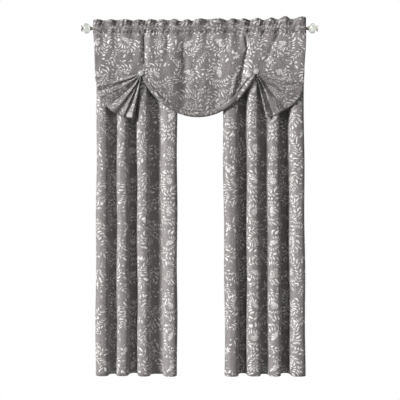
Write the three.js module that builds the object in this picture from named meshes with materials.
// A rod pocket curtain set on its rod: two long panels hang behind a valance that two buttons draw up into a
// middle swag and a pleated fan at each side. The rod ends in crystal finials.
// Millimetres. +X runs along the rod, +Y away from the viewer and +Z up. The origin is on the rod's axis,
// at mid-length.
import * as THREE from "three";

const { clamp, lerp, smoothstep, degToRad } = THREE.MathUtils;

// Rows of values with named columns.
const table = (columns, rows) =>
  rows.map((row) => Object.fromEntries(columns.map((name, i) => [name, row[i]])));

// Driving dimensions.
const CLOTH = 1.6;
const ROD = { radius: 8, sides: 16, halfLength: 639.7 };
const VALANCE_HALF_WIDTH = 633;
const LEVEL_HALF_WIDTH = 618;
const STITCH_LINE_DROP = 27;
const HEM_HEIGHT = -2060;
const BUTTON = { radius: 16.5, thickness: 7.4 };
const SEAT = { depth: -40, flat: 22, blend: 60, gap: 0.35 };
const GATHER_RADIUS = 12;

// Where the two buttons draw the valance up, and the place in the heading above each. The side says which way
// the fan spreads from it.
const TIES = {
  left: { x: -344, z: -273, side: -1, headingX: -346 },
  right: { x: 334, z: -263, side: 1, headingX: 345 },
};

// The heading's ruffles from left to right: where each crest stands and how high its top edge is, then the
// dip to its right and how much lower the top edge is there.
const RUFFLES = table(
  ["crest", "top", "dip", "drop"],
  [
    [-609, 53, -568, 2],
    [-526, 52, -496, 1],
    [-437, 53, -395, 3],
    [-366, 51, -318, 2],
    [-294, 53, -253, 1],
    [-223, 53, -187, 3],
    [-146, 55, -116, 8],
    [-68, 53, -45, 6],
    [-3, 57, 51, 2],
    [116, 59, 169, 8],
    [193, 58, 235, 2],
    [270, 59, 300, 4],
    [348, 62, 383, 9],
    [425, 62, 467, 10],
    [508, 71, 550, 13],
    [609, 68, 656, 4],
  ],
);
const FIRST_DIP = -650;

// The heading is sampled four times in each ruffle. A whole number is on a crest, and a half in a dip.
const RUFFLE_SAMPLES = { from: -0.125, to: 15.125, step: 0.25 };

// The valance's section through heading and pocket, from the flap's lower edge up behind the rod, over the
// top edge and down the front. The wave moves both layers together, and the bulge pushes one out from the
// rod.
const POCKET_SECTION = table(
  ["height", "depth", "wave", "bulge"],
  [
    [-33, 1.5, 4, 0],
    [-STITCH_LINE_DROP, 1.4, 4, 0],
    [-13, 6.8, 1.5, 2],
    [0, 10.2, 0, 4],
    [9, 6.9, 1.5, 2.5],
    [17, 1.4, 4, 0],
    ["top", 1.7, 10, 0],
    ["top", 0, 10, 0],
    ["top", -1.7, 10, 0],
    [17, -1.4, 4, 0],
    [9, -6.9, 1.5, 2.5],
    [0, -10.2, 0, 4],
    [-13, -6.8, 1.5, 2],
    [-STITCH_LINE_DROP, -1.4, 4, 0],
  ],
);
const TOP_EDGE_ROUNDING = 1.6;

// How the valance's face leaves the pocket and lies over the panels' folds. The wave is what is left of the
// gathers there.
const FACE_FALL = table(
  ["drop", "depth", "wave"],
  [
    [STITCH_LINE_DROP, -1.4, 4],
    [45, -11, 5],
    [80, -20, 4.5],
    [130, -30, 3],
    [190, -37, 1.5],
    [240, -40, 0],
    [400, -42, 0],
    [560, -43, 0],
  ],
);

// The rows between the pocket and button level, as shares of the way down.
const FACE_ROWS = [0.08, 0.23, 0.44, 0.7, 0.91];

// Between the panels nothing pushes the valance forward, so it hangs back by this much.
const MIDDLE_HOLLOW = { depth: 12, from: 60, to: 190, halfWidth: 95, blend: 90 };

// Soft folds in the valance's face, from one end of each to the other. A positive depth is a trough.
const SOFT_FOLDS = table(
  ["x0", "z0", "x1", "z1", "width", "depth"],
  [
    [-325, -30, -322, -225, 12, 5],
    [-350, -60, -352, -220, 15, -4],
    [-187, -55, -187, -145, 15, 3],
    [-135, -50, -150, -400, 40, -5],
    [-75, -25, -90, -440, 25, 8],
    [40, -90, 30, -440, 42, -5],
    [112, -50, 120, -220, 15, 3],
    [269, -35, 287, -130, 10, 8],
    [287, -125, 237, -350, 12, 7],
    [222, -270, 196, -400, 14, -5],
    [478, -20, 431, -95, 11, 5],
    [433, -90, 385, -215, 11, 5],
  ],
);

// The lines along which each fan is pleated, from the horizontal one at button level down to the inner edge.
// Each is given by its angle below the horizontal at the outline and at the button, the outline's distance
// from the button, and its height: a positive one is a ridge and a negative one a trough.
const FAN_COLUMNS = ["hemAngle", "rootAngle", "reach", "height"];
const FANS = {
  left: table(FAN_COLUMNS, [
    [0, 0, 274, 0],
    [10, 13, 273, -3],
    [16.5, 24, 273, 3],
    [22, 34, 276, -4],
    [30, 42, 280, 4],
    [43, 57, 281, -6],
    [53.3, 63, 282, 8],
    [61.5, 67, 277, -2],
    [67, 70, 276, 4],
    [71.7, 73, 276, -7],
    [78, 79, 273, 6],
    [81.5, 83, 271, -1],
  ]),
  right: table(FAN_COLUMNS, [
    [0, 0, 284, 0],
    [7.5, 19, 285, -4],
    [12, 29, 288, 2],
    [17, 38, 291, -5],
    [31, 44, 300, 5],
    [39, 49, 295, 1],
    [46.5, 54, 287, -6],
    [59.5, 62, 281, 9],
    [67.5, 67, 280, -7],
    [75.5, 75, 278, 7],
    [78, 78.5, 277, -1],
  ]),
};
const FAN_RINGS = [1, 0.82, 0.64, 0.48, 0.34, 0.22, 0.12, 0.035, 0];
const FAN = { bend: 0.8, lean: 0.5, deepest: 1.35, loss: 0.55, pinchFrom: 0.035, pinchTo: 0.24 };

// The swag's hem falls from tie to tie as a flattened arc, with a turned band along it and a crease above the
// band. Both fade out where the swag is short, near the ties.
const SWAG = { columns: 26, fall: 252, roundness: 0.74, rootAngle: 63, fadeFrom: 24, fadeTo: 96 };
const BAND = { width: 30, share: 0.45, bulge: 4 };
const CREASE = { place: 1.12, width: 0.16, depth: 5 };

// The swag's rows: above the crease as shares of the way down to it, then as heights in band widths.
const SWAG_ROWS = { above: [0, 0.3, 0.6, 0.85, 1], creaseTop: 1.3, band: [1.12, 0.95, 0.5, 0] };

// The panels' gathered tops, sewn behind the pocket: the same columns as the pocket's section.
const PANEL_TOP = table(
  ["height", "depth", "wave", "bulge"],
  [
    [20, 5, 4.4, 0],
    [17, 4.9, 4, 0],
    [9, 10.5, 1.5, 2.5],
    [0, 13.8, 0, 4],
    [-13, 10.4, 1.5, 2],
    [-STITCH_LINE_DROP, 4.9, 4, 0],
    [-37, 6, 4, 0],
  ],
);

// Each panel's folds from its left edge to its right one, by the edges between them. The first row is the
// panel's own left edge. Every other row is one bulge or one valley: the edge that ends it on the right, how
// far its middle lies behind the rod's axis behind the valance and at the hem, and how far that edge has
// drifted sideways at the hem.
const FOLD_COLUMNS = ["edge", "depth", "hemDepth", "drift"];
const FOLDS = {
  left: table(FOLD_COLUMNS, [
    [-613, 0, 0, -6],
    [-544, -27, -31, 4],
    [-489, 36, 32, -3],
    [-427, -28, -27, 6],
    [-373, 50, 54, 5],
    [-303, -29, -38, 8],
    [-234, 44, 30, 18],
    [-133, -27, -41, 0],
  ]),
  right: table(FOLD_COLUMNS, [
    [138, 0, 0, 13],
    [228, -27, -41, 4],
    [283, 46, 46, -1],
    [350, -28, -38, 11],
    [406, 34, 28, 3],
    [471, -29, -37, 13],
    [533, 50, 52, 8],
    [620, -28, -41, 8],
  ]),
};
const FOLD = { steps: 7, flankDepth: 5, growFrom: 37, growTo: 300, driftFrom: 200 };
const PANEL_DROPS = [80, 130, 190, 255, 340, 560, 860, 1160, 1460, 1760, 2060];
const PANEL_EDGE_MARGIN = 4;

// Finial profiles, as distances along the rod and radii.
const PROFILE_COLUMNS = ["along", "radius"];
const COLLAR = table(PROFILE_COLUMNS, [
  [0, 9],
  [2, 9],
  [4, 10.5],
  [7.5, 12],
]);
const CRYSTAL = table(PROFILE_COLUMNS, [
  [0, 10.5],
  [6, 20],
  [14.5, 27],
  [24.5, 30],
  [32.5, 28.5],
  [38.5, 22],
  [40.5, 9],
]);
const END_CAP = table(PROFILE_COLUMNS, [
  [0, 7],
  [4, 6],
  [8, 16.5],
  [10, 18.5],
  [12.5, 18],
  [14.4, 9],
]);
const BUTTON_PROFILE = table(PROFILE_COLUMNS, [
  [0, 14.5],
  [1.5, BUTTON.radius],
  [3.5, BUTTON.radius],
  [5.6, 14],
  [5.2, 11.5],
  [6.6, 8],
  [BUTTON.thickness, 3],
]);
const FINIAL = { gap: 0.3, crystalSides: 12, roundSides: 24 };

const gathers = headingColumns();

// The value in a table's column where another of its columns reaches a place, in a straight line between
// rows.
function along(rows, key, place, wanted) {
  const last = rows.length - 1;
  let i = 1;
  while (i < last && rows[i][key] < place) i += 1;
  const share = clamp((place - rows[i - 1][key]) / (rows[i][key] - rows[i - 1][key]), 0, 1);
  return lerp(rows[i - 1][wanted], rows[i][wanted], share);
}

// The columns in which the heading is sampled, the two side edges with them. Each has its height at the top
// edge and its wave, which is 1 on a crest and -1 in a dip.
function headingColumns() {
  const stops = RUFFLES.flatMap(({ crest, dip }, i) => [
    { x: crest, waves: i },
    { x: dip, waves: i + 0.5 },
  ]);
  stops.unshift({ x: FIRST_DIP, waves: -0.5 });
  const places = [-VALANCE_HALF_WIDTH];
  for (let { from: waves, to, step } = RUFFLE_SAMPLES; waves <= to; waves += step) {
    places.push(along(stops, "waves", waves, "x"));
  }
  places.push(VALANCE_HALF_WIDTH);
  return places.map((x) => {
    const waves = along(stops, "x", x, "waves");
    const ruffle = RUFFLES[clamp(Math.floor(waves), 0, RUFFLES.length - 1)];
    const wave = Math.cos(2 * Math.PI * waves);
    const crestTop = along(RUFFLES, "crest", x, "top");
    return { x, wave, top: crestTop - (ruffle.drop * (1 - wave)) / 2 };
  });
}

// A sheet of cloth, as rows of points on its middle surface that are joined one after the other.
class Sheet {
  points = [];
  faces = [];

  addRow(points) {
    return points.map((point) => this.points.push(point) - 1);
  }

  // Triangles between two rows that run the same way, walking along both at one pace.
  join(upper, lower) {
    const paceOf = (row, i) =>
      upper.length === lower.length ? i : this.points[row[i]].x;
    let i = 0;
    let j = 0;
    while (i < upper.length - 1 || j < lower.length - 1) {
      const stepUpper =
        j === lower.length - 1 ||
        (i < upper.length - 1 && paceOf(upper, i + 1) <= paceOf(lower, j + 1));
      if (stepUpper) {
        this.faces.push([upper[i], lower[j], upper[i + 1]]);
        i += 1;
      } else {
        this.faces.push([upper[i], lower[j], lower[j + 1]]);
        j += 1;
      }
    }
  }

  joinAll(rows) {
    rows.slice(1).forEach((row, i) => this.join(rows[i], row));
  }

  // The edges that only one face has, in the direction that the face gives them.
  freeEdges() {
    const edges = new Map();
    for (const face of this.faces) {
      face.forEach((from, k) => {
        const to = face[(k + 1) % 3];
        if (!edges.delete(`${to} ${from}`)) edges.set(`${from} ${to}`, [from, to]);
      });
    }
    return [...edges.values()];
  }

  // The middle surface pushed out by half the thickness both ways, with a wall along each free edge.
  solid(thickness) {
    const middle = new THREE.BufferGeometry().setFromPoints(this.points);
    middle.setIndex(this.faces.flat());
    middle.computeVertexNormals();
    const normals = middle.getAttribute("normal");
    const pushed = (side) =>
      this.points.map((point, i) => {
        const normal = new THREE.Vector3().fromBufferAttribute(normals, i);
        return point.clone().addScaledVector(normal, (side * thickness) / 2);
      });
    const n = this.points.length;
    const index = this.faces.flatMap(([a, b, c]) => [a, b, c, c + n, b + n, a + n]);
    for (const [a, b] of this.freeEdges()) index.push(b, a, a + n, b, a + n, b + n);
    const solid = new THREE.BufferGeometry().setFromPoints([...pushed(1), ...pushed(-1)]);
    solid.setIndex(index);
    solid.computeVertexNormals();
    return solid;
  }
}

// One row of a gathered section, such as the pocket's: its points in each of the given columns.
function gatheredRow(section, columns, push) {
  return columns.map(({ x, wave, top }) => {
    const height = section.height === "top" ? top : section.height;
    const rounded = section.height === "top" && section.depth !== 0 ? TOP_EDGE_ROUNDING : 0;
    const outwards = (section.bulge * (1 - push * wave)) / 2;
    const depth = section.depth - section.wave * wave + push * outwards;
    return new THREE.Vector3(x, depth, height - rounded);
  });
}

// How far one soft fold moves the cloth at a place.
function softFold({ x0, z0, x1, z1, width, depth }, x, z) {
  const length = Math.hypot(x1 - x0, z1 - z0);
  const share = ((x - x0) * (x1 - x0) + (z - z0) * (z1 - z0)) / length ** 2;
  const across = ((x - x0) * (z1 - z0) - (z - z0) * (x1 - x0)) / length;
  const taper = smoothstep(share, -0.1, 0.15) * (1 - smoothstep(share, 0.85, 1.15));
  return depth * taper * Math.exp(-((across / width) ** 2));
}

// How far the valance's face lies behind the rod's axis at a place below the pocket.
function faceDepth(x, z) {
  const drop = -z;
  const wave = along(FACE_FALL, "drop", drop, "wave") * along(gathers, "x", x, "wave");
  const { halfWidth, blend, from, to } = MIDDLE_HOLLOW;
  const middle = 1 - smoothstep(Math.abs(x), halfWidth, halfWidth + blend);
  const hollow = MIDDLE_HOLLOW.depth * middle * smoothstep(drop, from, to);
  const folds = SOFT_FOLDS.reduce((sum, fold) => sum + softFold(fold, x, z), 0);
  const free = along(FACE_FALL, "drop", drop, "depth") - wave + hollow + folds;
  const nearest = Math.min(...Object.values(TIES).map((tie) => Math.hypot(x - tie.x, z - tie.z)));
  return lerp(SEAT.depth, free, smoothstep(nearest, SEAT.flat, SEAT.blend));
}

// A place in the valance's heading carried down to a share of the way to button level, where the cloth is
// a little narrower and its columns meet the ties.
function facePoint({ x }, share) {
  const stops = [
    { from: -VALANCE_HALF_WIDTH, to: -LEVEL_HALF_WIDTH, level: TIES.left.z },
    { from: TIES.left.headingX, to: TIES.left.x, level: TIES.left.z },
    { from: TIES.right.headingX, to: TIES.right.x, level: TIES.right.z },
    { from: VALANCE_HALF_WIDTH, to: LEVEL_HALF_WIDTH, level: TIES.right.z },
  ];
  const at = lerp(x, along(stops, "from", x, "to"), smoothstep(share, 0, 1));
  const z = lerp(-STITCH_LINE_DROP, along(stops, "from", x, "level"), share);
  return new THREE.Vector3(at, faceDepth(at, z), z);
}

// The points of one pleat line of a fan, from its outline to the tie.
function fanRay(tie, line) {
  return FAN_RINGS.map((ring) => {
    const distance = lerp(GATHER_RADIUS, line.reach, ring);
    const pinched = smoothstep(ring, FAN.pinchFrom, FAN.pinchTo);
    const height = line.height * pinched * (FAN.deepest - FAN.loss * ring);
    const angle = degToRad(lerp(line.rootAngle, line.hemAngle, ring ** FAN.bend));
    const lean = FAN.lean * Math.max(height, 0);
    const outwards = distance * Math.cos(angle) - lean * Math.sin(angle);
    const down = distance * Math.sin(angle) + lean * Math.cos(angle);
    const x = tie.x + tie.side * outwards;
    const z = tie.z - down;
    return new THREE.Vector3(x, faceDepth(x, z) - height, z);
  });
}

// A fan's pleat lines with one more half-way between each two.
function fanLines(lines) {
  return lines.flatMap((line, i) => {
    if (i === 0) return [line];
    const half = Object.fromEntries(FAN_COLUMNS.map((name) => [name, (line[name] + lines[i - 1][name]) / 2]));
    return [half, line];
  });
}

// The swag's hem and its upper line at a share of the way across, from -1 at the left tie to 1 at the right.
function swagColumn(across) {
  const { left, right } = TIES;
  const root = degToRad(SWAG.rootAngle);
  const side = (tie, angle) => ({
    x: tie.x - tie.side * GATHER_RADIUS * Math.cos(angle),
    z: tie.z - GATHER_RADIUS * Math.sin(angle),
  });
  const between = (angle) => {
    const [from, to] = [side(left, angle), side(right, angle)];
    const share = (across + 1) / 2;
    return { x: lerp(from.x, to.x, share), z: lerp(from.z, to.z, share) };
  };
  const upper = between(0);
  const hem = between(root);
  hem.z -= SWAG.fall * (1 - across ** 2) ** SWAG.roundness;
  const slope = (4 * SWAG.fall * across) / (right.x - left.x);
  const band = Math.min(BAND.width * Math.hypot(1, slope), BAND.share * (upper.z - hem.z));
  return { upper, hem, band };
}

// The points of one row of the swag, at the height above the hem that is worked out from the swag's length in
// each column and the width of its band there.
function swagRow(heightAbove) {
  return Array.from({ length: SWAG.columns + 1 }, (_, i) => {
    const across = Math.sin((Math.PI / 2) * ((2 * i) / SWAG.columns - 1));
    const { upper, hem, band } = swagColumn(across);
    const length = upper.z - hem.z;
    const height = heightAbove(length, band);
    const place = height / band;
    const z = hem.z + height;
    const x = lerp(hem.x, upper.x, height / length);
    const bulge = BAND.bulge * Math.sin(Math.PI * clamp(place, 0, 1));
    const crease = CREASE.depth * Math.exp(-(((place - CREASE.place) / CREASE.width) ** 2));
    const strength = smoothstep(length, SWAG.fadeFrom, SWAG.fadeTo);
    return new THREE.Vector3(x, faceDepth(x, z) + strength * (crease - bulge), z);
  });
}

function valance() {
  const sheet = new Sheet();
  const pocket = POCKET_SECTION.map((section) => {
    const push = section.depth > 0 ? 1 : -1;
    return sheet.addRow(gatheredRow(section, gathers, push));
  });
  const face = FACE_ROWS.map((share) => sheet.addRow(gathers.map((column) => facePoint(column, share))));

  const fanRows = (name) => {
    const rays = fanLines(FANS[name]).map((line) => fanRay(TIES[name], line));
    if (TIES[name].side > 0) rays.forEach((ray) => ray.reverse());
    return rays.map((ray) => sheet.addRow(ray));
  };
  const left = fanRows("left");
  const right = fanRows("right");
  const heights = [
    ...SWAG_ROWS.above.map((share) => (length, band) => lerp(length, SWAG_ROWS.creaseTop * band, share)),
    ...SWAG_ROWS.band.map((widths) => (length, band) => widths * band),
  ];
  const swag = heights.map((heightAbove) => sheet.addRow(swagRow(heightAbove)));
  const level = [...left[0], ...swag[0], ...right[0]];
  sheet.joinAll([...pocket, ...face, level]);
  [left, swag, right].forEach((rows) => sheet.joinAll(rows));
  return sheet.solid(CLOTH);
}

// A panel's section: a row of half ellipses, one from each edge to the next, which meet where the flanks stand
// straight. Each point also has the length of cloth up to it.
function foldProfile(folds) {
  const flank = FOLD.flankDepth;
  const profile = [{ x: folds[0].edge, depth: flank, hemDepth: flank, drift: folds[0].drift }];
  folds.slice(1).forEach((fold, i) => {
    for (let step = 1; step <= FOLD.steps; step += 1) {
      const turn = (Math.PI * step) / FOLD.steps;
      const t = (1 - Math.cos(turn)) / 2;
      profile.push({
        x: lerp(folds[i].edge, fold.edge, t),
        depth: lerp(flank, fold.depth, Math.sin(turn)),
        hemDepth: lerp(flank, fold.hemDepth, Math.sin(turn)),
        drift: lerp(folds[i].drift, fold.drift, t),
      });
    }
  });
  let length = 0;
  return profile.map((point, i) => {
    const before = profile[Math.max(i - 1, 0)];
    length += Math.hypot(point.x - before.x, point.depth - before.depth);
    return { ...point, length };
  });
}

function panel(folds) {
  const sheet = new Sheet();
  const [from, to] = [folds[0].edge, folds.at(-1).edge];
  const edge = (x) => ({ x, wave: along(gathers, "x", x, "wave"), top: 0 });
  const within = ({ x }) => x > from + PANEL_EDGE_MARGIN && x < to - PANEL_EDGE_MARGIN;
  const columns = [edge(from), ...gathers.filter(within), edge(to)];
  const tops = PANEL_TOP.map((section) => sheet.addRow(gatheredRow(section, columns, 1)));

  const last = PANEL_TOP.at(-1);
  const profile = foldProfile(folds);
  const folded = PANEL_DROPS.map((drop) => {
    const grown = smoothstep(drop, FOLD.growFrom, FOLD.growTo);
    const drifted = smoothstep(drop, FOLD.driftFrom, -HEM_HEIGHT);
    return sheet.addRow(
      profile.map((point) => {
        const gatheredX = lerp(from, to, point.length / profile.at(-1).length);
        const x = lerp(gatheredX, point.x + point.drift * drifted, grown);
        const flat = last.depth - last.wave * along(gathers, "x", gatheredX, "wave");
        const depth = lerp(point.depth, point.hemDepth, drifted);
        return new THREE.Vector3(x, lerp(flat, depth, grown), -drop);
      }),
    );
  });
  sheet.joinAll([...tops, ...folded]);
  return sheet.solid(CLOTH);
}

// A turned shape whose axis is +X, closed at both ends.
function turned(profile, sides) {
  const onAxis = (end) => new THREE.Vector2(0, end.along);
  const outline = profile.map((point) => new THREE.Vector2(point.radius, point.along));
  const points = [onAxis(profile[0]), ...outline, onAxis(profile.at(-1))];
  return new THREE.LatheGeometry(points, sides).rotateZ(-Math.PI / 2);
}

const materials = {
  cloth: { color: 0x96928f, roughness: 0.55, metalness: 0, side: THREE.DoubleSide },
  rod: { color: 0x6f685c, roughness: 0.35, metalness: 0.9 },
  metal: { color: 0xa9a89f, roughness: 0.3, metalness: 0.9 },
  crystal: { color: 0xdfe4de, roughness: 0.05, metalness: 0, transparent: true, opacity: 0.35 },
  button: { color: 0xdcdcd8, roughness: 0.4, metalness: 0.1 },
};

function part(name, geometry, material) {
  const mesh = new THREE.Mesh(geometry, new THREE.MeshStandardMaterial(materials[material]));
  mesh.name = name;
  return mesh;
}

function rod() {
  const tube = new THREE.CylinderGeometry(ROD.radius, ROD.radius, 2 * ROD.halfLength, ROD.sides);
  tube.rotateZ(Math.PI / 2).rotateX(Math.PI / ROD.sides);
  return part("rod", tube, "rod");
}

// Collar, crystal and end cap one after the other along the rod, outwards from its end.
function finial(name) {
  const pieces = [
    part(`collar_${name}`, turned(COLLAR, FINIAL.roundSides), "rod"),
    part(`crystal_${name}`, turned(CRYSTAL, FINIAL.crystalSides), "crystal"),
    part(`end_cap_${name}`, turned(END_CAP, FINIAL.roundSides), "metal"),
  ];
  const profiles = [COLLAR, CRYSTAL, END_CAP];
  const group = new THREE.Group();
  let place = ROD.halfLength;
  pieces.forEach((piece, i) => {
    place += FINIAL.gap;
    piece.position.x = place;
    place += profiles[i].at(-1).along;
    group.add(piece);
  });
  return group;
}

function button(name) {
  const mesh = part(`button_${name}`, turned(BUTTON_PROFILE, FINIAL.roundSides), "button");
  mesh.rotation.z = -Math.PI / 2;
  mesh.position.set(TIES[name].x, SEAT.depth - CLOTH / 2 - SEAT.gap, TIES[name].z);
  return mesh;
}

const curtain = new THREE.Group();
const leftFinial = finial("left");
leftFinial.rotation.z = Math.PI;
curtain.add(
  rod(),
  leftFinial,
  finial("right"),
  part("valance", valance(), "cloth"),
  part("panel_left", panel(FOLDS.left), "cloth"),
  part("panel_right", panel(FOLDS.right), "cloth"),
  button("left"),
  button("right"),
);

export default curtain;
